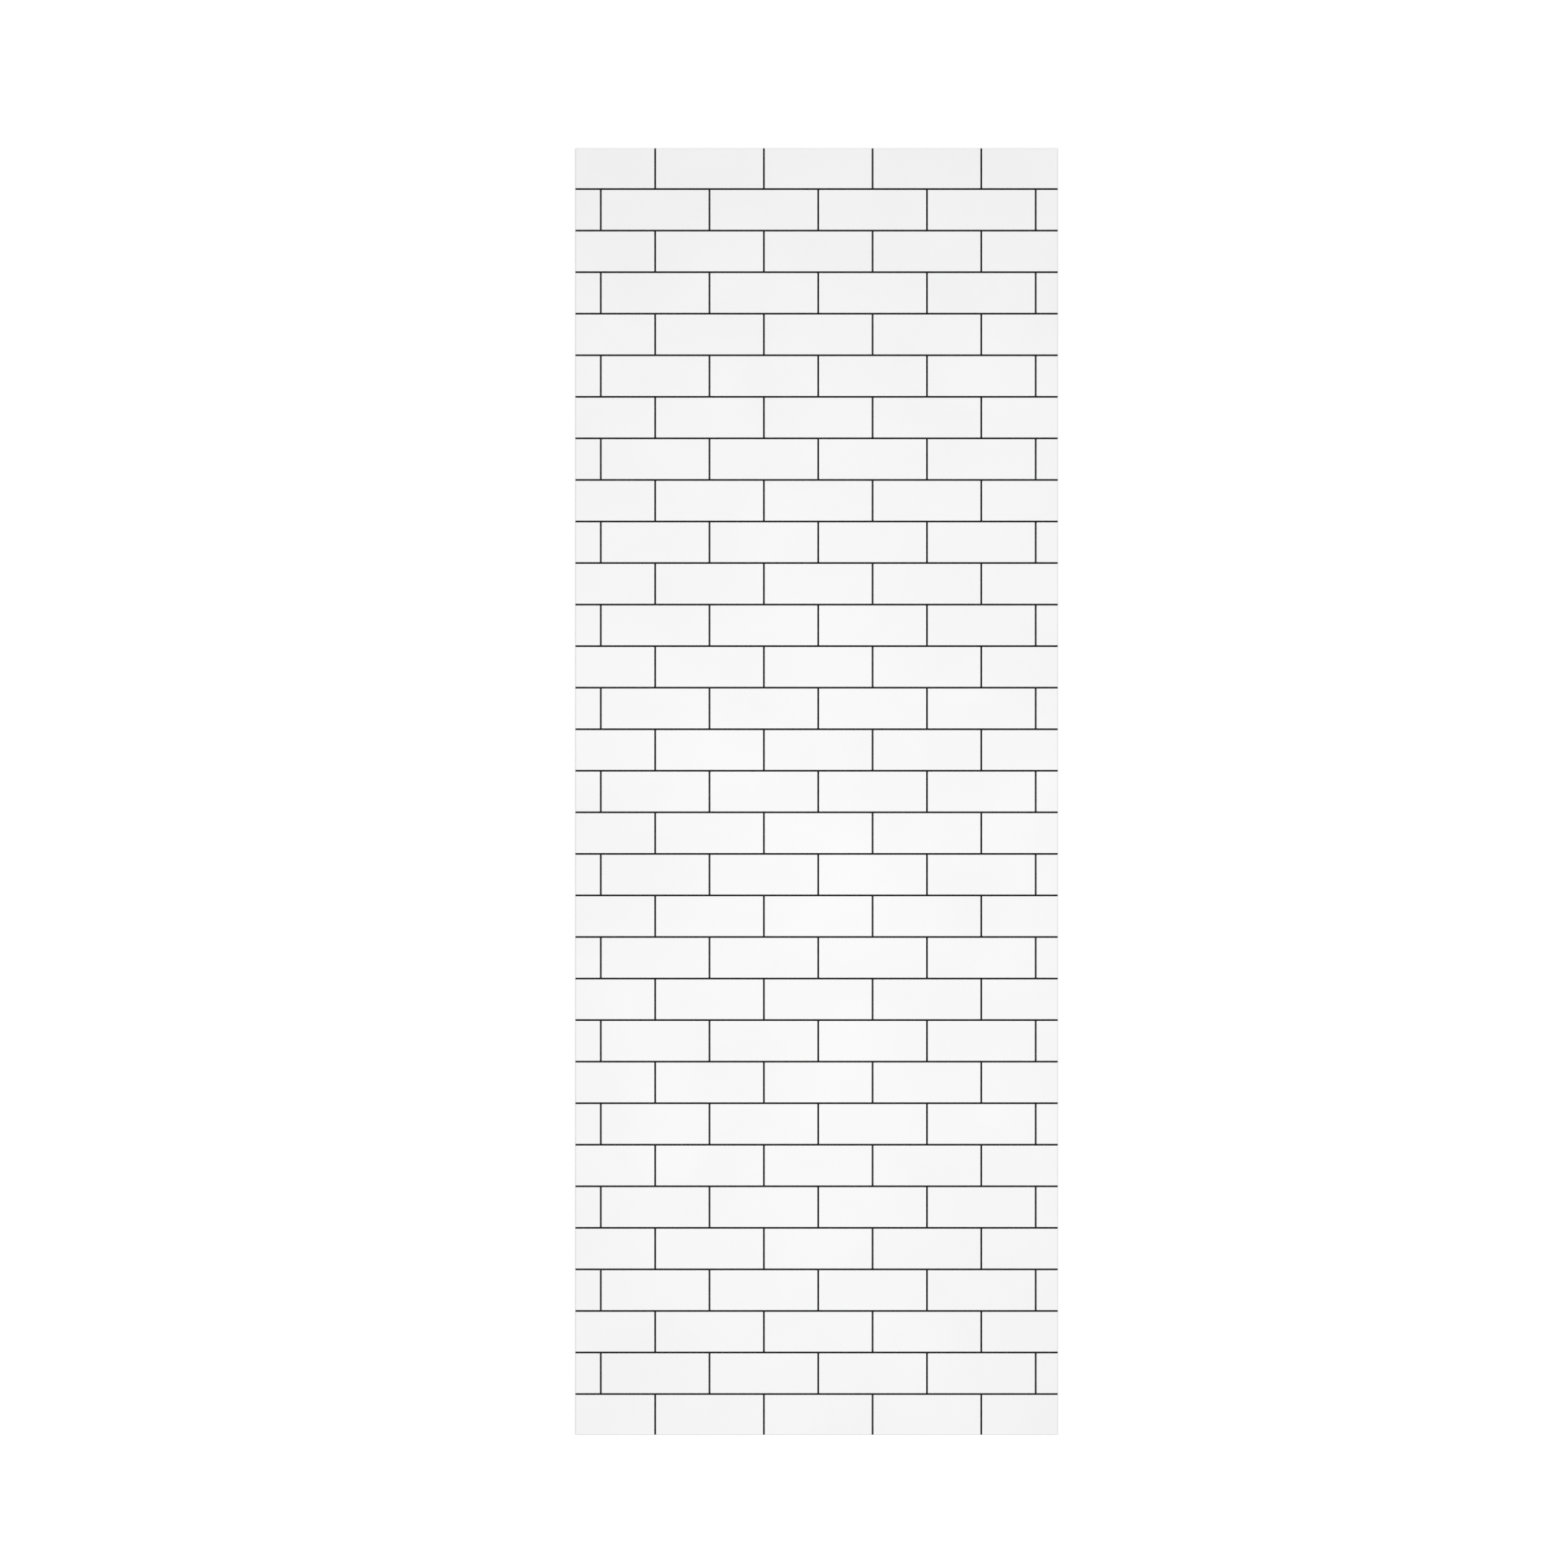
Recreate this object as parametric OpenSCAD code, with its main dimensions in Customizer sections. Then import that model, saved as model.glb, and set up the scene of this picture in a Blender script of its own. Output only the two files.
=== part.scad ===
// Shower wall panel with a running-bond tile face.
// It lies on its flat back with the tile face up. X runs across the panel, Y up the wall and
// Z out of the wall. The origin is the centre of the back face. Lengths are in millimetres.

/* [Sheet] */
// Width of the panel, along the courses
panel_w = 914.4; // [600:0.1:1524]
// Length of the panel, up the wall
panel_l = 2438.4; // [1200:0.1:3048]
// Thickness of the panel, from its back to its tile faces
panel_t = 6.35; // [4:0.05:12]
// Round on the four outer edges of the face
edge_round = 0.9; // [0.3:0.1:1.5]

/* [Tiles] */
// Length of one tile along its course
tile_w = 202.9; // [100:0.1:400]
// Height of one tile up the wall
tile_h = 75.6; // [50:0.1:200]
// Round on the edges of each tile face
tile_round = 0.8; // [0.3:0.1:1]
// Share of a tile by which every second course is shifted
bond_shift = 0.5; // [0:0.05:0.5]
// Distance from the left edge to the first upright joint of the bottom course
first_joint = 151.2; // [20:0.1:200]

/* [Joints] */
// Width of a joint between two tiles
joint_w = 3.15; // [1.5:0.05:6]
// Depth of a joint below the tile faces
joint_d = 1.2; // [1.1:0.05:2]
// Slope of a joint's walls, in from the vertical at its floor
joint_draft = 0.15; // [0.05:0.05:0.5]

/* [Smoothness] */
// Flats that make up one rounded edge
round_steps = 4; // [2:1:6]

/* [Hidden] */

// How far a cutter stands clear of the sheet
cut_over = 2;
// Narrowest strip of tile that is left between a joint and the edge of the sheet
strip_min = 5;

pitch_x = tile_w + joint_w;
pitch_y = tile_h + joint_w;

// Courses are counted from the bottom edge, where the first one is a whole tile high
bed_joints = [
    for (i = [1 : ceil(panel_l / pitch_y)])
        let (y = i * pitch_y - joint_w / 2)
            if (y < panel_l - strip_min - joint_w / 2) y - panel_l / 2
];

// Where each course starts and ends: at the middle of its bed joints, or past the sheet's end
course_ends = concat([-panel_l / 2 - cut_over], bed_joints, [panel_l / 2 + cut_over]);

// Middles of the upright joints in one course, from the left edge
function upright_joints(course) =
    let (start = first_joint + (course % 2) * bond_shift * pitch_x,
         back = floor((start - strip_min - joint_w / 2) / pitch_x))
        [
            for (i = [0 : ceil(panel_w / pitch_x)])
                let (x = start + (i - back) * pitch_x)
                    if (x < panel_w - strip_min - joint_w / 2) x - panel_w / 2
        ];

// Points of a quarter round of radius r about c, from angle a0 to angle a1
function quarter_round(c, r, a0, a1) = [
    for (i = [0 : round_steps])
        let (a = a0 + (a1 - a0) * i / round_steps) c + r * [cos(a), sin(a)]
];

// An outline that is the same on both sides, from the points of its right side, lowest first
function both_sides(right) = concat(right, [for (i = [len(right) - 1 : -1 : 0]) [-right[i].x, right[i].y]]);

// Section of the space that one joint takes, measured from the tile faces
function joint_section() = both_sides(concat(
    [[joint_w / 2 - joint_draft, -joint_d]],
    quarter_round([joint_w / 2 + tile_round, -tile_round], tile_round, 180, 90),
    [[joint_w / 2 + tile_round, cut_over]]
));

// Section of the sheet, w wide, with its two upper corners rounded
function sheet_section(w) = both_sides(concat(
    [[w / 2, 0]],
    quarter_round([w / 2 - edge_round, panel_t - edge_round], edge_round, 0, 90)
));

// Lays a section across X and runs it along Y from y0 to y1
module run_along_y(y0, y1) {
    translate([0, y1, 0]) rotate([90, 0, 0]) linear_extrude(y1 - y0) children();
}

// Lays a section across Y and runs it along X from x0 to x1
module run_along_x(x0, x1) {
    translate([x0, 0, 0]) rotate([90, 0, 90]) linear_extrude(x1 - x0) children();
}

// The plain sheet: its two sections crossed, so that all four edges of the face are rounded
module sheet() {
    intersection() {
        run_along_y(-panel_l / 2, panel_l / 2) polygon(sheet_section(panel_w));
        run_along_x(-panel_w / 2, panel_w / 2) polygon(sheet_section(panel_l));
    }
}

// The level joints between courses, open at both long edges of the sheet
module bed_joint_cuts() {
    for (y = bed_joints)
        translate([0, y, panel_t])
            run_along_x(-panel_w / 2 - cut_over, panel_w / 2 + cut_over) polygon(joint_section());
}

// The upright joints of every course, each from one bed joint to the next
module upright_joint_cuts() {
    for (course = [0 : len(course_ends) - 2], x = upright_joints(course))
        translate([x, 0, panel_t])
            run_along_y(course_ends[course], course_ends[course + 1]) polygon(joint_section());
}

module wall_panel() {
    color("white")
        difference() {
            sheet();
            bed_joint_cuts();
            upright_joint_cuts();
        }
}

wall_panel();
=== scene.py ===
"""Shower wall panel with a running-bond tile face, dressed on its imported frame.

The panel lies on its flat back with the tile face up. X runs across it, Y up the wall and Z out
of the wall, in metres. One closed surface stands for the whole moulded sheet: its tile face is a
height worked out over a grid of lines that follow the joints, its back is a plain grid, and four
walls join the two. Light comes evenly from the sky, from a soft box above the face, and from a
high sun towards the panel's top right corner.
"""

import logging
import math
from abc import ABC, abstractmethod
from collections.abc import Mapping
from dataclasses import dataclass, field, replace
from enum import IntEnum
from typing import Any

import bpy
import numpy as np
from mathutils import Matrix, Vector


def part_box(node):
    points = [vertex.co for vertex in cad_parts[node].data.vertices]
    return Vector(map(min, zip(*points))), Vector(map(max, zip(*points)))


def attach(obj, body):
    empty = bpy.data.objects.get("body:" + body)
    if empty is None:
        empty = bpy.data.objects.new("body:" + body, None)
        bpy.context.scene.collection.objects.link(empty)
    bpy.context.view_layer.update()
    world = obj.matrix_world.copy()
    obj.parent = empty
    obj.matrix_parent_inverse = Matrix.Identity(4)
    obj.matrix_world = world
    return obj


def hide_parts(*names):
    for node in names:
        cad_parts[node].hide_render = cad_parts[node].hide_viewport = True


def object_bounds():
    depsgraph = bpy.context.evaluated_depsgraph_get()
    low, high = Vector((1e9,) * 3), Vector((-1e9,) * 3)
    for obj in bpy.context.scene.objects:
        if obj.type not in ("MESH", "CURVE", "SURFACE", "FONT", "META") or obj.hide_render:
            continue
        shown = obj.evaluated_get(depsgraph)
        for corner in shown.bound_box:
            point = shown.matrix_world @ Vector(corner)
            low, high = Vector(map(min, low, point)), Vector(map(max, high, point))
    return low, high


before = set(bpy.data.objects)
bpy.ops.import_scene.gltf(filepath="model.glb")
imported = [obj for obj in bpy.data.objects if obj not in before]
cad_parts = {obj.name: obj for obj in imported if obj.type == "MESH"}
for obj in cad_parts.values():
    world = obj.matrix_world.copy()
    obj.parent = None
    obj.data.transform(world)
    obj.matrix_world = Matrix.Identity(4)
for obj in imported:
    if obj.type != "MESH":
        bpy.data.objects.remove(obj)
CAD_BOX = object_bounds()

SHEET_NODE = "wall_panel"
SHEET_BODY = "root"
SHEET_PIECE = "tile_sheet"
TILE_TONE = "tile_tone"

PLASTIC_IOR = 1.5
NOISE_MIDDLE = 0.5

Socket = bpy.types.NodeSocket

log = logging.getLogger("wall_panel")


class Surface(IntEnum):
    """What a face of the sheet is. The number is also the face's material slot.

    The sides are the sheet's long edges, and the ends are its short ones. Their greys, which also
    cover the rounded rim of the face, are partly the core's own colour and partly painted shade,
    darker on the sides.
    """

    TILE = 0
    JOINT = 1
    SIDE = 2
    END = 3
    BACK = 4


def grey(tone: float) -> tuple[float, float, float, float]:
    """An opaque colour without a hue, from 0, black, to 1, white."""
    return (tone, tone, tone, 1.0)


def midpoints(values: np.ndarray) -> np.ndarray:
    """Points halfway between each two neighbours: half of their sum."""
    return (values[1:] + values[:-1]) / 2


def add_object(name: str, data: bpy.types.ID) -> bpy.types.Object:
    """Adds an object to the scene, at the origin.

    Args:
        name: The object's name.
        data: Its mesh, light or camera.

    Returns:
        The object.
    """
    made = bpy.data.objects.new(name, data)
    bpy.context.scene.collection.objects.link(made)
    return made


class Tree:
    """Lays nodes in one node tree and joins them."""

    def __init__(self, tree: bpy.types.NodeTree) -> None:
        """Empties the tree, so that only the nodes laid here are in it."""
        self.tree = tree
        tree.nodes.clear()

    @classmethod
    def of(cls, block: bpy.types.Material | bpy.types.World) -> "Tree":
        """Turns a material's or a world's nodes on, and starts its tree."""
        block.use_nodes = True
        return cls(block.node_tree)

    def node(
        self, kind: str, inputs: Mapping[str | int, Any] | None = None, **settings: Any
    ) -> bpy.types.Node:
        """Adds one node.

        Args:
            kind: The node's type.
            inputs: For each socket, by name or place, its value or the output that feeds it.
            settings: The node's own settings.

        Returns:
            The node, with its settings, values and links.
        """
        made = self.tree.nodes.new(kind)
        for name, value in settings.items():
            setattr(made, name, value)
        for socket, value in (inputs or {}).items():
            if isinstance(value, Socket):
                self.tree.links.new(value, made.inputs[socket])
            else:
                made.inputs[socket].default_value = value
        return made

    def maths(self, operation: str, first: Any, second: Any) -> Socket:
        """Joins two values by one sum, and returns its output."""
        return self.node("ShaderNodeMath", {0: first, 1: second}, operation=operation).outputs[0]

    def varied(self, base: Any, value: Socket, amount: Any) -> Socket:
        """A base plus an amount of a value that changes over the surface."""
        return self.maths("ADD", base, self.maths("MULTIPLY", value, amount))

    def scaled(self, colour: Socket, factor: Socket) -> Socket:
        """A colour times a factor."""
        inputs = {"Vector": colour, "Scale": factor}
        return self.node("ShaderNodeVectorMath", inputs, operation="SCALE").outputs["Vector"]

    def noise(self, place: Socket, scale: Any, **values: float) -> Socket:
        """A noise read at a place, from about zero to one. The values are its other inputs."""
        inputs = {"Vector": place, "Scale": scale, **values}
        return self.node("ShaderNodeTexNoise", inputs).outputs["Fac"]

    def effect(self, group: bpy.types.NodeTree, inputs: Mapping[str, Any]) -> Mapping[str, Socket]:
        """Places a shared effect, and returns its outputs by name."""
        return self.node("ShaderNodeGroup", inputs, node_tree=group).outputs


class EffectGroup(Tree):
    """Lays the nodes of a shader node group, for an effect that several finishes share."""

    def __init__(self, name: str, inputs: Mapping[str, str], outputs: Mapping[str, str]) -> None:
        """Starts the group with its sockets.

        Args:
            name: The group's name.
            inputs: For each input its socket type. Each finish gives it a value of its own.
            outputs: For each output its socket type.
        """
        super().__init__(bpy.data.node_groups.new(name, "ShaderNodeTree"))
        for way, sockets in (("INPUT", inputs), ("OUTPUT", outputs)):
            for label, kind in sockets.items():
                self.tree.interface.new_socket(name=label, in_out=way, socket_type=kind)
        self.given = self.node("NodeGroupInput").outputs

    def close(self, results: Mapping[str, Socket]) -> bpy.types.NodeTree:
        """Feeds the group's outputs, and returns the group."""
        self.node("NodeGroupOutput", results)
        return self.tree


@dataclass
class SharedEffects:
    """The effects that more than one finish of the sheet uses, each built once as a node group.

    Attributes:
        cloud_detail: Finer levels of noise in the clouds.
        cloud_warp: How far the clouds are bent out of shape.
        cloud_range: Noise that stands for the darkest and the palest cloud.
        grain_detail: Finer levels of noise in each part of the grain.
        fine_ratio: How many times finer the grain's second part is than its first.
        stroke_detail: Finer levels of noise in the strokes.
        stroke_fade: Strength of each of those levels beside the one before.
        clouds: Soft clouds of tone.
        grain: A fine even relief.
        strokes: Fine strokes that all run one way.
    """

    cloud_detail: float = 3.0
    cloud_warp: float = 0.6
    cloud_range: tuple[float, float] = (0.3, 0.7)
    grain_detail: float = 1.0
    fine_ratio: float = 4.0
    stroke_detail: float = 4.0
    stroke_fade: float = 0.65
    clouds: bpy.types.NodeTree = field(init=False)
    grain: bpy.types.NodeTree = field(init=False)
    strokes: bpy.types.NodeTree = field(init=False)

    def __post_init__(self) -> None:
        """Builds the three groups."""
        self.clouds = self.build_clouds()
        self.grain = self.build_grain()
        self.strokes = self.build_strokes()

    def build_clouds(self) -> bpy.types.NodeTree:
        """Builds soft clouds of tone.

        Formula: the colour times one plus the amount times a smooth noise that runs from about
        minus one to one. The noise's size is that of one cloud.

        Returns:
            The group, with a colour and the bare noise as outputs.
        """
        group = EffectGroup(
            "Soft clouds",
            {
                "Place": "NodeSocketVector",
                "Colour": "NodeSocketColor",
                "Cloud Size": "NodeSocketFloat",
                "Amount": "NodeSocketFloat",
            },
            {"Colour": "NodeSocketColor", "Drift": "NodeSocketFloat"},
        )
        given = group.given
        scale = group.maths("DIVIDE", 1.0, given["Cloud Size"])
        noise = group.noise(given["Place"], scale, Detail=self.cloud_detail, Distortion=self.cloud_warp)
        darkest, palest = self.cloud_range
        drift = group.node(
            "ShaderNodeMapRange",
            {"Value": noise, "From Min": darkest, "From Max": palest, "To Min": -1.0, "To Max": 1.0},
        ).outputs["Result"]
        toned = group.scaled(given["Colour"], group.varied(1.0, drift, given["Amount"]))
        return group.close({"Colour": toned, "Drift": drift})

    def build_grain(self) -> bpy.types.NodeTree:
        """Builds a fine even relief, such as orange peel on a gloss face or sand in a joint.

        Formula: a noise of the grain's size, plus a share of a noise that is finer by the ratio.

        Returns:
            The group, with the height as its output, from about zero to one plus the share.
        """
        group = EffectGroup(
            "Fine grain",
            {
                "Place": "NodeSocketVector",
                "Grain Size": "NodeSocketFloat",
                "Fine Share": "NodeSocketFloat",
            },
            {"Height": "NodeSocketFloat"},
        )
        given = group.given
        scale = group.maths("DIVIDE", 1.0, given["Grain Size"])
        fine_scale = group.maths("MULTIPLY", scale, self.fine_ratio)
        coarse = group.noise(given["Place"], scale, Detail=self.grain_detail)
        fine = group.noise(given["Place"], fine_scale, Detail=self.grain_detail)
        return group.close({"Height": group.varied(coarse, fine, given["Fine Share"])})

    def build_strokes(self) -> bpy.types.NodeTree:
        """Builds fine strokes that all run one way, such as saw or sanding marks.

        Formula: a noise read at the place times a stretch for each axis, so that it is drawn out
        along the axis with the smallest stretch.

        Returns:
            The group, with the height from about zero to one as its output.
        """
        group = EffectGroup(
            "Fine strokes",
            {"Place": "NodeSocketVector", "Stretch": "NodeSocketVector"},
            {"Height": "NodeSocketFloat"},
        )
        stretched = group.node(
            "ShaderNodeVectorMath",
            {0: group.given["Place"], 1: group.given["Stretch"]},
            operation="MULTIPLY",
        ).outputs["Vector"]
        height = group.noise(stretched, 1.0, Detail=self.stroke_detail, Roughness=self.stroke_fade)
        return group.close({"Height": height})


@dataclass(frozen=True, kw_only=True)
class Finish(ABC):
    """What every finish of the sheet has: a tone with soft clouds, a sheen and a fine relief.

    Attributes:
        name: The material's name.
        tone: How pale the colour is, which has no hue.
        cloud_size: Size of one cloud.
        cloud_amount: Share by which the clouds lift and lower the tone.
        roughness: How matt the surface is, from 0 to 1.
        rough_drift: How far the clouds lift and lower the roughness.
        relief_depth: Depth of the relief.
        specular: Strength of the gloss, where 0.5 is that of bare plastic.
    """

    name: str
    tone: float
    cloud_size: float
    cloud_amount: float
    roughness: float
    rough_drift: float
    relief_depth: float
    specular: float = 0.5

    @abstractmethod
    def detail(self, tree: Tree, place: Socket, effects: SharedEffects) -> tuple[Socket, Socket]:
        """Lays the nodes that only this finish has.

        Args:
            tree: The material's tree.
            place: The place on the piece.
            effects: The shared effects.

        Returns:
            The factor on the tone, and the height of the relief.
        """

    def material(self, effects: SharedEffects) -> bpy.types.Material:
        """Builds the material.

        Formula: the colour is the cloudy tone times the finish's own factor, and the roughness is
        the finish's own plus a share of the clouds' noise.

        Args:
            effects: The shared effects.

        Returns:
            The material.
        """
        material = bpy.data.materials.new(self.name)
        tree = Tree.of(material)
        place = tree.node("ShaderNodeTexCoord").outputs["Object"]
        clouds = tree.effect(
            effects.clouds,
            {
                "Place": place,
                "Colour": grey(self.tone),
                "Cloud Size": self.cloud_size,
                "Amount": self.cloud_amount,
            },
        )
        factor, height = self.detail(tree, place, effects)
        relief = tree.node(
            "ShaderNodeBump", {"Strength": 1.0, "Distance": self.relief_depth, "Height": height}
        )
        shader = tree.node(
            "ShaderNodeBsdfPrincipled",
            {
                "Base Color": tree.scaled(clouds["Colour"], factor),
                "Roughness": tree.varied(self.roughness, clouds["Drift"], self.rough_drift),
                "IOR": PLASTIC_IOR,
                "Specular IOR Level": self.specular,
                "Normal": relief.outputs["Normal"],
            },
        )
        tree.node("ShaderNodeOutputMaterial", {"Surface": shader.outputs["BSDF"]})
        return material


@dataclass(frozen=True, kw_only=True)
class GlossTile(Finish):
    """White gloss of the tile faces, as the mould leaves it.

    Attributes:
        tile_amount: Share by which a tile's own tone differs from the rest.
        peel_size: Size of the orange peel.
        peel_fine: Share of finer peel on it.
    """

    name: str = "gloss_tile"
    tone: float = 0.88
    cloud_size: float = 0.25
    cloud_amount: float = 0.016
    roughness: float = 0.2
    rough_drift: float = 0.02
    relief_depth: float = 0.00001
    tile_amount: float = 0.002
    peel_size: float = 0.009
    peel_fine: float = 0.2

    def detail(self, tree: Tree, place: Socket, effects: SharedEffects) -> tuple[Socket, Socket]:
        """Gives each tile a slightly different tone, and the gloss its orange peel.

        Args:
            tree: The material's tree.
            place: The place on the piece.
            effects: The shared effects.

        Returns:
            The factor on the tone, and the height of the peel.
        """
        own = tree.node("ShaderNodeAttribute", attribute_name=TILE_TONE).outputs["Fac"]
        peel = tree.effect(
            effects.grain,
            {"Place": place, "Grain Size": self.peel_size, "Fine Share": self.peel_fine},
        )
        return tree.varied(1.0, own, self.tile_amount), peel["Height"]


@dataclass(frozen=True, kw_only=True)
class CharcoalJoint(Finish):
    """Matt charcoal of the recessed joints, sandy like grout.

    Attributes:
        sand_size: Size of one grain.
        sand_fine: Share of finer sand among it.
        sand_relief_shade: Share by which high grains are paler and low ones darker.
    """

    name: str = "charcoal_joint"
    tone: float = 0.013
    cloud_size: float = 0.03
    cloud_amount: float = 0.12
    roughness: float = 0.85
    rough_drift: float = 0.05
    relief_depth: float = 0.0003
    specular: float = 0.12
    sand_size: float = 0.0008
    sand_fine: float = 0.6
    sand_relief_shade: float = 1.2

    def detail(self, tree: Tree, place: Socket, effects: SharedEffects) -> tuple[Socket, Socket]:
        """Gives the joints their sand, with painted highlight where it stands high and painted shade
        where it lies low.

        Args:
            tree: The material's tree.
            place: The place on the piece.
            effects: The shared effects.

        Returns:
            The factor on the tone, and the height of the sand.
        """
        sand = tree.effect(
            effects.grain,
            {"Place": place, "Grain Size": self.sand_size, "Fine Share": self.sand_fine},
        )["Height"]
        # Painted highlight and shade: the sand is paled where it stands high and darkened where it lies
        # low.
        lift = tree.maths("SUBTRACT", sand, NOISE_MIDDLE * (1.0 + self.sand_fine))
        return tree.varied(1.0, lift, self.sand_relief_shade), sand


@dataclass(frozen=True, kw_only=True)
class StrokedPlastic(Finish):
    """Bare plastic with fine strokes: the sheet's cut edges and its sanded back.

    Attributes:
        stretch: Strokes to a metre, roughly, along each axis.
        stroke_relief_shade: Share by which high strokes are paler and low ones darker.
    """

    stretch: tuple[float, float, float]
    stroke_relief_shade: float

    def detail(self, tree: Tree, place: Socket, effects: SharedEffects) -> tuple[Socket, Socket]:
        """Gives the plastic its strokes, with painted highlight where they stand high and painted shade
        where they lie low.

        Args:
            tree: The material's tree.
            place: The place on the piece.
            effects: The shared effects.

        Returns:
            The factor on the tone, and the height of the strokes.
        """
        strokes = tree.effect(effects.strokes, {"Place": place, "Stretch": self.stretch})["Height"]
        # Painted highlight and shade: the strokes are paled where they stand high and darkened where
        # they lie low.
        lift = tree.maths("SUBTRACT", strokes, NOISE_MIDDLE)
        return tree.varied(1.0, lift, self.stroke_relief_shade), strokes


# The cut edges and the face's rounded rim take these greys: partly the core's own colour, partly
# painted shade of the dark rim round the face.
SHADED_CUT_SIDE = StrokedPlastic(
    name="cut_side_painted_shade",
    tone=0.56,
    cloud_size=0.15,
    cloud_amount=0.01,
    roughness=0.5,
    rough_drift=0.03,
    relief_depth=0.00002,
    stretch=(900.0, 900.0, 150.0),
    stroke_relief_shade=0.03,
)
# The ends are paler than the sides: the difference is painted shade, darker on the long sides.
SHADED_CUT_END = replace(SHADED_CUT_SIDE, name="cut_end_painted_shade", tone=0.7)
SANDED_BACK = StrokedPlastic(
    name="sanded_back",
    tone=0.76,
    cloud_size=0.3,
    cloud_amount=0.015,
    roughness=0.65,
    rough_drift=0.04,
    relief_depth=0.00003,
    stretch=(160.0, 1.5, 1.0),
    stroke_relief_shade=0.12,
)


@dataclass(frozen=True)
class RunningBond:
    """The tiles and the joints between them, as they are cut in the face. Lengths are in metres.

    Attributes:
        tile_w: Length of one tile along its course.
        tile_h: Height of one tile up the wall.
        tile_round: Round on the edges of a tile's face, and on its corners in plan.
        bond_shift: Share of a tile by which every second course is shifted.
        first_joint: From the left edge to the first upright joint of the bottom course.
        strip_min: Narrowest strip of tile between a joint and the edge of the sheet.
        joint_w: Width of a joint between two tiles.
        joint_d: Depth of a joint below the tile faces.
        joint_draft: Slope of a joint's walls, in from the vertical at its floor.
        joint_hollow: How much deeper a joint's floor is in its middle than at its edges.
        charcoal_and_shade_from: Drop below the tile faces at which the charcoal starts.
        round_steps: Flats that make up one rounded edge.
        flat_guard: From a rounded edge to the first line on the flat beside it.
    """

    tile_w: float = 0.2029
    tile_h: float = 0.0756
    tile_round: float = 0.0008
    bond_shift: float = 0.5
    first_joint: float = 0.1512
    strip_min: float = 0.005
    joint_w: float = 0.00315
    joint_d: float = 0.0012
    joint_draft: float = 0.00015
    joint_hollow: float = 0.0001
    # The charcoal reaches up the tiles' rounded edges: partly the joint's own colour, partly painted
    # shade.
    charcoal_and_shade_from: float = 0.0004
    round_steps: int = 4
    flat_guard: float = 0.0003

    @property
    def foot(self) -> float:
        """Half the width of a joint, where a tile's rounded edge meets the joint's wall."""
        return self.joint_w / 2

    @property
    def floor(self) -> float:
        """Half the width of a joint's floor."""
        return self.foot - self.joint_draft

    def bed_joints(self, length: float) -> np.ndarray:
        """Middles of the level joints, from the sheet's own middle.

        Formula: whole courses from the bottom edge, less half a joint, as long as a strip of tile
        is left above the last one.

        Args:
            length: The sheet's length.

        Returns:
            The middles, from the bottom.
        """
        pitch = self.tile_h + self.joint_w
        found = np.arange(1, math.ceil(length / pitch) + 1) * pitch - self.foot
        return found[found < length - self.strip_min - self.foot] - length / 2

    def upright_joints(self, shifted: int, width: float) -> np.ndarray:
        """Middles of the upright joints in one course, from the sheet's own middle.

        Formula: the first joint, plus the bond's shift in a shifted course, plus whole tiles, kept
        where a strip of tile is left beside it.

        Args:
            shifted: 1 in a shifted course, and 0 in the others.
            width: The sheet's width.

        Returns:
            The middles, from the left.
        """
        pitch = self.tile_w + self.joint_w
        tiles = np.arange(-1, math.ceil(width / pitch) + 1)
        found = self.first_joint + (shifted * self.bond_shift + tiles) * pitch
        clear = self.strip_min + self.foot
        return found[(found > clear) & (found < width - clear)] - width / 2

    def section_lines(self) -> np.ndarray:
        """Where a joint's section bends, from its middle.

        Formula: the middle, the floor's edge, the steps of the quarter round, which stand at the
        foot plus the radius times one minus the sine of the turn, and a guard line on the flat.
        The first step on the round ends where the charcoal does, and the others are even. The
        charcoal on that first step is partly the joint's own colour and partly painted shade.

        Returns:
            The places, from one side of the joint to the other.
        """
        dark_to = math.acos(1 - self.charcoal_and_shade_from / self.tile_round)
        turn = np.append(math.pi / 2, np.linspace(dark_to, 0, self.round_steps))
        arris = self.foot + self.tile_round * (1 - np.sin(turn))
        side = np.concatenate(([self.floor], arris, [arris[-1] + self.flat_guard]))
        return np.concatenate((-side[::-1], [0.0], side))

    def drop(self, beside: np.ndarray, along: np.ndarray) -> np.ndarray:
        """How far the face lies below the flat of the tiles.

        Formula: each distance from a joint's middle becomes a depth into the tile's edge, which is
        zero on the flat. The two depths join as the sides of a right angle, so that a tile's
        corners are round in plan. As far as the radius the drop is that of a quarter round, then
        it follows the wall's slope, and it stops at the joint's floor, which is a little hollow.

        Args:
            beside: Distance from the middle of the nearest upright joint, for each point.
            along: Distance from the middle of the nearest level joint, for each point.

        Returns:
            The drop at each point.
        """
        flat = self.foot + self.tile_round
        depth = np.hypot(np.maximum(flat - beside, 0), np.maximum(flat - along, 0))
        inside = np.minimum(depth, self.tile_round)
        rounded = self.tile_round - np.sqrt(self.tile_round**2 - inside**2)
        slope = (self.joint_d - self.tile_round) / self.joint_draft
        walled = rounded + np.maximum(depth - self.tile_round, 0) * slope
        aside = np.minimum(np.minimum(beside, along) / self.floor, 1)
        return np.minimum(walled, self.joint_d - self.joint_hollow * aside**2)


@dataclass(frozen=True)
class MapStrip:
    """An upright strip of the piece's own map. Its place and size are shares of the map."""

    left: float
    width: float
    bottom: float = 0.01
    height: float = 0.98

    def lay(self, across: np.ndarray, along: np.ndarray) -> np.ndarray:
        """Lays points out on the strip: its corner, plus each share of the way times its size."""
        return np.stack((self.left + across * self.width, self.bottom + along * self.height), axis=-1)


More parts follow.
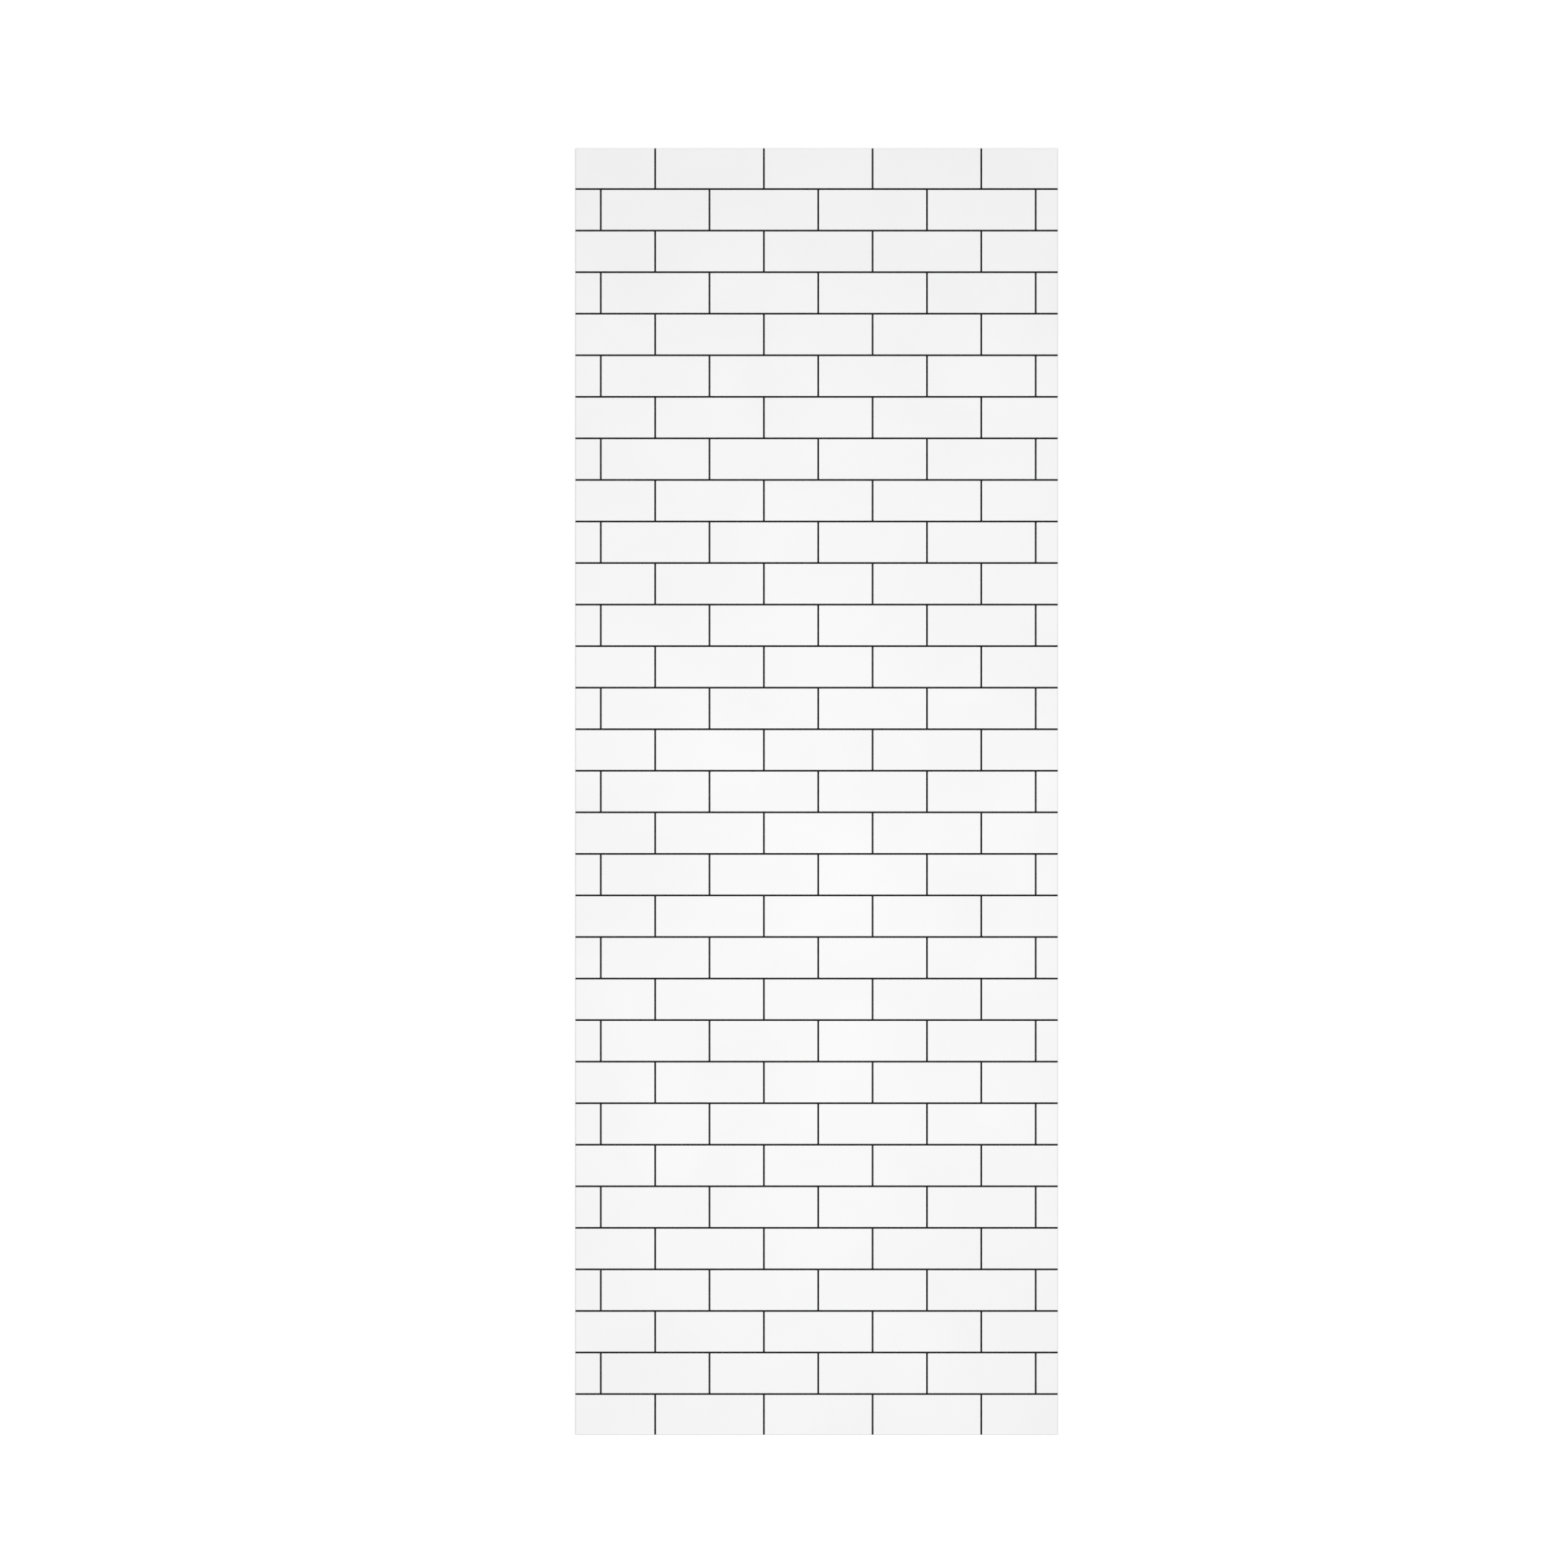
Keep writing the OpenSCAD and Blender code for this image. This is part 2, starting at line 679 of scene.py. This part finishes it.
@dataclass
class MouldedSheet:
    """The whole panel as one closed surface: tile face, four walls and back.

    Attributes:
        bond: The tiles and joints of the face.
        edge_round: Round on the four outer edges of the face.
        back_columns: Cells of the back's grid across the sheet.
        back_rows: Cells of the back's grid along the sheet.
        tone_seed: Seed of the tones of the tiles.
        sharp_angle: Angle between two faces past which the edge between them is sharp.
        map_name: Name of the piece's own map.
        tile_strip: The map's strip for the tile faces.
        joint_strip: The map's strip for the joints.
        back_strip: The map's strip for the back.
        wall_strip: The map's strip for the bottom wall, the first of four.
        wall_step: From one wall's strip to the next, as a share of the map.
        low: Lowest corner of the sheet's box.
        high: Highest corner of the sheet's box.
    """

    bond: RunningBond = field(default_factory=RunningBond)
    edge_round: float = 0.0009
    back_columns: int = 12
    back_rows: int = 32
    tone_seed: int = 31
    sharp_angle: float = math.radians(40)
    map_name: str = "OFBake"
    tile_strip: MapStrip = MapStrip(0.01, 0.3675)
    joint_strip: MapStrip = MapStrip(0.3875, 0.3675)
    back_strip: MapStrip = MapStrip(0.765, 0.18)
    wall_strip: MapStrip = MapStrip(0.953, 0.007)
    wall_step: float = 0.01
    low: np.ndarray = field(init=False)
    high: np.ndarray = field(init=False)

    def __post_init__(self) -> None:
        """Takes the sheet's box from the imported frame."""
        low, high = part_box(SHEET_NODE)
        self.low = np.array(low)
        self.high = np.array(high)

    @property
    def size(self) -> np.ndarray:
        """Width, length and thickness of the sheet."""
        return self.high - self.low

    def grid_lines(self, axis: int, joints: np.ndarray) -> np.ndarray:
        """Lines of the face's grid across one axis.

        Formula: the section's lines about every joint, the steps of the rounded edge at both ends
        with a guard line beside them, and one line halfway between each two neighbouring joints.

        Args:
            axis: 0 for X and 1 for Y.
            joints: Middles of the joints that lie across this axis.

        Returns:
            The lines, in rising order.
        """
        turn = np.linspace(math.pi / 2, 0, self.bond.round_steps + 1)
        steps = self.edge_round * (1 - np.sin(turn))
        steps = np.append(steps, steps[-1] + self.bond.flat_guard)
        ends = np.concatenate((self.low[axis] + steps, self.high[axis] - steps))
        sections = (joints[:, None] + self.bond.section_lines()).ravel()
        return np.unique(np.concatenate((ends, sections, midpoints(joints))))

    def edge_drop(self, axis: int, lines: np.ndarray) -> np.ndarray:
        """How far the rounded outer edge lies below the tiles.

        Formula: the radius less the height of a quarter round at that distance from the edge.

        Args:
            axis: 0 for X and 1 for Y.
            lines: Places along this axis.

        Returns:
            The drop at each place.
        """
        inward = np.minimum(lines - self.low[axis], self.high[axis] - lines)
        depth = np.maximum(self.edge_round - inward, 0)
        return self.edge_round - np.sqrt(np.maximum(self.edge_round**2 - depth**2, 0))

    def tile_face(self) -> tuple[np.ndarray, np.ndarray, np.ndarray]:
        """Works out the tile face over its grid.

        Formula: a point's course is the number of level joints below it, and every second course
        has the shifted upright joints. The height is the sheet's thickness less the deepest of the
        joint's drop and the drops of the rounded edges along the sides and the ends.

        Returns:
            The points as rows by columns by three, the slot of each cell, and its tile's tone.
        """
        width, length = self.size[:2]
        beds = self.bond.bed_joints(length)
        uprights = [self.bond.upright_joints(shifted, width) for shifted in (0, 1)]
        x = self.grid_lines(0, np.sort(np.concatenate(uprights)))
        y = self.grid_lines(1, beds)
        course = np.searchsorted(beds, y)
        to_upright = np.stack([np.abs(x - joints[:, None]).min(axis=0) for joints in uprights])
        to_bed = np.abs(y - beds[:, None]).min(axis=0)
        drop = self.bond.drop(to_upright[course % 2], to_bed[:, None])
        side = np.broadcast_to(self.edge_drop(0, x), drop.shape)
        end = np.broadcast_to(self.edge_drop(1, y)[:, None], drop.shape)
        z = self.high[2] - np.maximum(drop, np.maximum(side, end))
        points = np.stack(np.broadcast_arrays(x, y[:, None], z), axis=-1)
        return points, self.cell_slots(drop, side, end), self.cell_tones(x, y, beds, uprights)

    def cell_slots(self, drop: np.ndarray, side: np.ndarray, end: np.ndarray) -> np.ndarray:
        """Says what each cell of the face is.

        Formula: a cell is a joint where its mean drop is more than that at which the charcoal
        starts. Otherwise it belongs to the rounded edge that lowers it most, and so takes the grey of
        the cut edges, which paints shade round the face, or else to a tile.

        Args:
            drop: The joints' drop at each point.
            side: The drop of the rounded edges along the sides, at each point.
            end: The drop of the rounded edges along the ends, at each point.

        Returns:
            The slot of each cell.
        """
        drop, side, end = (self.cell_means(values) for values in (drop, side, end))
        # The rounded rim takes the cut edges' grey, which paints shade round the face.
        slots = np.where(side > 0, Surface.SIDE, Surface.TILE)
        slots = np.where(end > side, Surface.END, slots)
        # Charcoal on the lower part of the rounded edges: partly the joint's colour, partly painted
        # shade.
        return np.where(drop > self.bond.charcoal_and_shade_from, Surface.JOINT, slots)

    def cell_tones(
        self, x: np.ndarray, y: np.ndarray, beds: np.ndarray, uprights: list[np.ndarray]
    ) -> np.ndarray:
        """Gives each cell the tone of its tile.

        Formula: a tile's row is the number of level joints below it, its place in the row is the
        number of upright joints to its left, and its tone is an even random number.

        Args:
            x: The grid's lines across X.
            y: The grid's lines across Y.
            beds: Middles of the level joints.
            uprights: Middles of the upright joints, in a plain and in a shifted course.

        Returns:
            The tone of each cell, from minus one to one.
        """
        row = np.searchsorted(beds, midpoints(y))
        tile = np.stack([np.searchsorted(joints, midpoints(x)) for joints in uprights])[row % 2]
        seeded = np.random.default_rng(self.tone_seed)
        tones = seeded.uniform(-1, 1, (len(beds) + 1, tile.max() + 1))
        return tones[row[:, None], tile]

    @staticmethod
    def cell_means(values: np.ndarray) -> np.ndarray:
        """Means of the four corners of each cell of a grid."""
        return (values[1:, 1:] + values[1:, :-1] + values[:-1, 1:] + values[:-1, :-1]) / 4

    def back_face(self) -> np.ndarray:
        """Works out the back, an even grid on the sheet's lowest plane.

        Returns:
            The points, as rows by columns by three.
        """
        x = np.linspace(self.low[0], self.high[0], self.back_columns + 1)
        y = np.linspace(self.low[1], self.high[1], self.back_rows + 1)
        return np.stack(np.broadcast_arrays(x, y[:, None], self.low[2]), axis=-1)

    @staticmethod
    def grid_faces(numbers: np.ndarray) -> np.ndarray:
        """Corners of the cells of a grid of point numbers, turning left as seen from above."""
        corners = (numbers[:-1, :-1], numbers[:-1, 1:], numbers[1:, 1:], numbers[1:, :-1])
        return np.stack(corners, axis=-1).reshape(-1, 4)

    @staticmethod
    def wall_faces(
        upper: np.ndarray, lower: np.ndarray, upper_way: np.ndarray, lower_way: np.ndarray
    ) -> np.ndarray:
        """Joins two rows of points with triangles.

        Formula: each step of the upper row goes to the lower point that is nearest to its middle.
        Each step of the lower row goes to the upper point where that nearest point changes.

        Args:
            upper: Numbers of the upper points, in order along the wall.
            lower: Numbers of the lower points, in the same order.
            upper_way: How far along the wall each upper point is.
            lower_way: How far along the wall each lower point is.

        Returns:
            The triangles, which face to the right of the way along.
        """
        nearest = np.searchsorted(midpoints(lower_way), midpoints(upper_way))
        change = np.searchsorted(nearest, np.arange(len(lower) - 1), side="right")
        hanging = np.stack((lower[nearest], upper[1:], upper[:-1]), axis=-1)
        standing = np.stack((lower[:-1], lower[1:], upper[change]), axis=-1)
        return np.concatenate((hanging, standing))

    def share(self, points: np.ndarray) -> np.ndarray:
        """Share of the way across, along and up the sheet at which each point lies."""
        return (points - self.low) / self.size

    def build(self) -> bpy.types.Object:
        """Builds the closed surface, its map and the tones of its tiles.

        Formula: of the four walls, the bottom and the top one run across the sheet, and the other
        two along it. The first two run up their axis and the last two down it.

        Returns:
            The sheet's object, at the origin, with its faces' slots numbered as Surface says.
        """
        face, slots, tones = self.tile_face()
        back = self.back_face()
        points = np.concatenate((face.reshape(-1, 3), back.reshape(-1, 3)))
        face_numbers = np.arange(face[..., 0].size).reshape(face.shape[:2])
        back_numbers = face_numbers.size + np.arange(back[..., 0].size).reshape(back.shape[:2])

        cells = [self.grid_faces(face_numbers), self.grid_faces(back_numbers)[:, ::-1]]
        kinds = [slots.ravel(), np.full(len(cells[1]), Surface.BACK)]
        for number, (upper, lower) in enumerate(self.rims(face_numbers, back_numbers)):
            way = self.share(points)[:, number % 2] * (1 if number < 2 else -1)
            cells.append(self.wall_faces(upper, lower, way[upper], way[lower]))
            kinds.append(np.full(len(cells[-1]), Surface.SIDE if number % 2 else Surface.END))

        mesh = self.fill_mesh(points, cells, np.concatenate(kinds))
        laid = [self.lay_out(points[part], kind).ravel() for part, kind in zip(cells, kinds)]
        layer = mesh.uv_layers.new(name=self.map_name)
        layer.uv.foreach_set("vector", np.concatenate(laid))
        face_tones = np.zeros(len(mesh.polygons))
        face_tones[: tones.size] = tones.ravel()
        mesh.attributes.new(TILE_TONE, "FLOAT", "FACE").data.foreach_set("value", face_tones)
        return add_object(SHEET_PIECE, mesh)

    @staticmethod
    def rims(face: np.ndarray, back: np.ndarray) -> list[tuple[np.ndarray, np.ndarray]]:
        """Rims of the four walls: bottom, right, top and left, in order round the sheet.

        Args:
            face: Numbers of the tile face's points.
            back: Numbers of the back's points.

        Returns:
            The upper and the lower rim of each wall.
        """
        return [
            (face[0], back[0]),
            (face[:, -1], back[:, -1]),
            (face[-1, ::-1], back[-1, ::-1]),
            (face[::-1, 0], back[::-1, 0]),
        ]

    def lay_out(self, corners: np.ndarray, kinds: np.ndarray) -> np.ndarray:
        """Lays faces out on the piece's own map.

        Formula: tile faces, joints and the back each have a strip that shows them as seen from
        above, so no colour runs from one to another. The walls and the rounded edge above them
        have a narrow strip each, with the height across it and the way along the wall up it. A
        face belongs to the wall that is nearest to its middle.

        Args:
            corners: The corners' points, by faces, corners and three.
            kinds: What each face is.

        Returns:
            The corners' places on the map, by faces, corners and two.
        """
        way = self.share(corners)
        middle = way.mean(axis=1)
        gaps = np.stack((middle[:, 1], 1 - middle[:, 0], 1 - middle[:, 1], middle[:, 0])).T
        wall = np.argmin(gaps * self.size[[1, 0, 1, 0]], axis=1)[:, None]
        along = np.where(wall % 2 == 0, way[..., 0], way[..., 1])
        laid = self.wall_strip.lay(way[..., 2], along)
        laid[..., 0] += wall * self.wall_step
        strips = {
            Surface.TILE: self.tile_strip,
            Surface.JOINT: self.joint_strip,
            Surface.BACK: self.back_strip,
        }
        for kind, strip in strips.items():
            laid[kinds == kind] = strip.lay(way[..., 0], way[..., 1])[kinds == kind]
        return laid

    def fill_mesh(
        self, points: np.ndarray, cells: list[np.ndarray], kinds: np.ndarray
    ) -> bpy.types.Mesh:
        """Puts points and faces into a mesh, smooth but for its sharp edges.

        Args:
            points: The points, by three.
            cells: Arrays of faces, each with its own number of corners.
            kinds: The slot of every face.

        Returns:
            The mesh.
        """
        corners = np.concatenate([part.ravel() for part in cells])
        counts = np.concatenate([np.full(len(part), part.shape[1]) for part in cells])
        mesh = bpy.data.meshes.new(SHEET_PIECE)
        mesh.vertices.add(len(points))
        mesh.vertices.foreach_set("co", points.ravel())
        mesh.loops.add(len(corners))
        mesh.loops.foreach_set("vertex_index", corners.astype(np.int32))
        mesh.polygons.add(len(counts))
        mesh.polygons.foreach_set("loop_start", (np.cumsum(counts) - counts).astype(np.int32))
        mesh.polygons.foreach_set("material_index", kinds.astype(np.int32))
        mesh.polygons.foreach_set("use_smooth", np.ones(len(counts), dtype=bool))
        mesh.update(calc_edges=True)
        mesh.set_sharp_from_angle(angle=self.sharp_angle)
        return mesh

    def dress(self, sheet: bpy.types.Object, effects: SharedEffects) -> None:
        """Gives the sheet its five finishes, in the order of their slots.

        Args:
            sheet: The sheet's object.
            effects: The shared effects.
        """
        finishes = {
            Surface.TILE: GlossTile(),
            Surface.JOINT: CharcoalJoint(),
            Surface.SIDE: SHADED_CUT_SIDE,
            Surface.END: SHADED_CUT_END,
            Surface.BACK: SANDED_BACK,
        }
        for kind in Surface:
            sheet.data.materials.append(finishes[kind].material(effects))

    def place(self, sheet: bpy.types.Object) -> None:
        """Puts the sheet on the body it rides on, and hides the node that it stands in for.

        Args:
            sheet: The sheet's object.
        """
        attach(sheet, SHEET_BODY)
        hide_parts(SHEET_NODE)


@dataclass
class Studio:
    """Pale floor, soft light and the camera. A share of light is what a white matt face shows of it.

    Attributes:
        view_width: Width of the view, at the tile face.
        aim: Point that the camera looks down on, in X and Y.
        lens: The camera's focal length, in millimetres.
        sensor: Width of the camera's sensor, in millimetres.
        far_clip: How far the camera sees.
        floor_half: Half the width of the floor.
        floor_tone: How pale the floor is.
        floor_lift: Glow that makes up the floor's white where it is seen.
        ambient: Share of light from the sky.
        key_share: Share of light from the key sun.
        key_elevation: Angle of the key sun above the floor.
        key_turn: Turn of the key sun from the panel's top end towards its right.
        sun_angle: Width of a sun as an angle, which softens its shadows.
        under_share: Share of light that the back gets from below.
        box_power: Power of the soft box, in watts.
        box_width: Width of the soft box.
        box_length: Length of the soft box, up the wall.
        box_height: Height of the soft box above the floor.
        box_y: Place of the soft box up the wall.
    """

    view_width: float = 2.9716
    aim: tuple[float, float] = (-0.0618, 0.0142)
    lens: float = 85.0
    sensor: float = 36.0
    far_clip: float = 100.0
    floor_half: float = 40.0
    floor_tone: float = 0.75
    floor_lift: float = 0.35
    ambient: float = 0.63
    key_share: float = 0.27
    key_elevation: float = math.radians(75)
    key_turn: float = math.radians(25)
    sun_angle: float = math.radians(20)
    under_share: float = 0.3
    box_power: float = 4.85
    box_width: float = 0.3
    box_length: float = 2.4
    box_height: float = 1.4
    box_y: float = -0.25

    def seen_rays(self, tree: Tree) -> Socket:
        """Tells the rays that show the surroundings themselves: camera, glossy and transmission.

        Args:
            tree: The tree to lay the nodes in.

        Returns:
            One for those rays, and zero for the rest.
        """
        path = tree.node("ShaderNodeLightPath").outputs
        seen = tree.maths("MAXIMUM", path["Is Camera Ray"], path["Is Glossy Ray"])
        return tree.maths("MAXIMUM", seen, path["Is Transmission Ray"])

    def light_world(self) -> None:
        """Fills the world: white where it is seen, and dimmer where it only lights the object."""
        world = bpy.data.worlds.new("studio")
        bpy.context.scene.world = world
        tree = Tree.of(world)
        strength = tree.varied(self.ambient, self.seen_rays(tree), 1.0 - self.ambient)
        sky = tree.node("ShaderNodeBackground", {"Color": grey(1.0), "Strength": strength})
        tree.node("ShaderNodeOutputWorld", {"Surface": sky.outputs["Background"]})

    def floor_mesh(self) -> bpy.types.Mesh:
        """Makes the floor: four faces round the sheet's outline, with nothing under the sheet.

        Formula: each face spans from one corner of the floor to the next, and from there to the
        same two corners of the outline.

        Returns:
            The mesh.
        """
        turns = np.array([(-1, -1), (1, -1), (1, 1), (-1, 1)])
        low, high = np.array(CAD_BOX)
        outline = np.where(turns < 0, low[:2], high[:2])
        points = np.vstack((turns * self.floor_half, outline))
        points = np.column_stack((points, np.full(len(points), low[2])))
        first = np.arange(len(turns))
        after = np.roll(first, -1)
        faces = np.stack((first, after, after + len(turns), first + len(turns)), axis=-1)
        mesh = bpy.data.meshes.new("floor")
        mesh.from_pydata(points.tolist(), [], faces.tolist())
        return mesh

    def floor_material(self) -> bpy.types.Material:
        """Builds the floor's finish: pale matt that is lifted where it is seen.

        It is clear from below, so that the sheet's back can be looked at from there.

        Returns:
            The material.
        """
        material = bpy.data.materials.new("pale_floor")
        tree = Tree.of(material)
        matt = tree.node("ShaderNodeBsdfDiffuse", {"Color": grey(self.floor_tone)})
        lift = tree.maths("MULTIPLY", self.seen_rays(tree), self.floor_lift)
        glow = tree.node("ShaderNodeEmission", {"Color": grey(1.0), "Strength": lift})
        pale = tree.node("ShaderNodeAddShader", {0: matt.outputs["BSDF"], 1: glow.outputs["Emission"]})
        below = tree.node("ShaderNodeNewGeometry").outputs["Backfacing"]
        clear = tree.node("ShaderNodeBsdfTransparent").outputs["BSDF"]
        sided = tree.node("ShaderNodeMixShader", {0: below, 1: pale.outputs["Shader"], 2: clear})
        tree.node("ShaderNodeOutputMaterial", {"Surface": sided.outputs["Shader"]})
        return material

    def lay_floor(self) -> None:
        """Lays the pale floor, which keeps the object's shadow."""
        floor = add_object("floor", self.floor_mesh())
        floor.data.materials.append(self.floor_material())

    def add_light(self, name: str, kind: str, **settings: Any) -> bpy.types.Object:
        """Adds one light that points down and shows in no reflection.

        Args:
            name: The light's name.
            kind: SUN or AREA.
            settings: The light's own settings.

        Returns:
            The light.
        """
        data = bpy.data.lights.new(name, kind)
        for setting, value in settings.items():
            setattr(data, setting, value)
        light = add_object(name, data)
        light.visible_glossy = False
        return light

    def hang_lights(self) -> None:
        """Hangs the key sun, the soft box, and a sun below that only the back gets.

        Formula: a sun gives a level face its strength times the sine of its elevation, and a white
        matt face then shows that over pi.
        """
        key = self.add_light(
            "key",
            "SUN",
            energy=self.key_share * math.pi / math.sin(self.key_elevation),
            angle=self.sun_angle,
        )
        key.rotation_euler = (self.key_elevation - math.pi / 2, 0.0, -self.key_turn)
        under = self.add_light(
            "under", "SUN", energy=self.under_share * math.pi, angle=self.sun_angle
        )
        under.rotation_euler = (math.pi, 0.0, 0.0)
        soft = self.add_light(
            "soft_box",
            "AREA",
            shape="RECTANGLE",
            size=self.box_width,
            size_y=self.box_length,
            energy=self.box_power,
        )
        soft.location = (0.0, self.box_y, self.box_height)
        soft.visible_camera = False

    def set_camera(self) -> None:
        """Sets the camera straight above the face, at the distance that shows the view's width.

        Formula: the distance is the view's width times the lens over the sensor.
        """
        data = bpy.data.cameras.new("camera")
        data.lens = self.lens
        data.sensor_width = self.sensor
        data.clip_end = self.far_clip
        camera = add_object("camera", data)
        face_height = CAD_BOX[1][2]
        camera.location = (*self.aim, face_height + self.view_width * self.lens / self.sensor)
        bpy.context.scene.camera = camera

    def build(self) -> None:
        """Builds the studio."""
        bpy.context.scene.view_settings.view_transform = "Standard"
        self.light_world()
        self.lay_floor()
        self.hang_lights()
        self.set_camera()


def main() -> None:
    """Builds the panel and its studio."""
    logging.basicConfig(level=logging.INFO, format="%(name)s: %(message)s")
    sheet = MouldedSheet()
    piece = sheet.build()
    sheet.dress(piece, SharedEffects())
    sheet.place(piece)
    log.info("%s: %d faces, %d points", piece.name, len(piece.data.polygons), len(piece.data.vertices))
    Studio().build()
    log.info("studio: floor, world, three lights and camera")


if __name__ == "__main__":
    main()
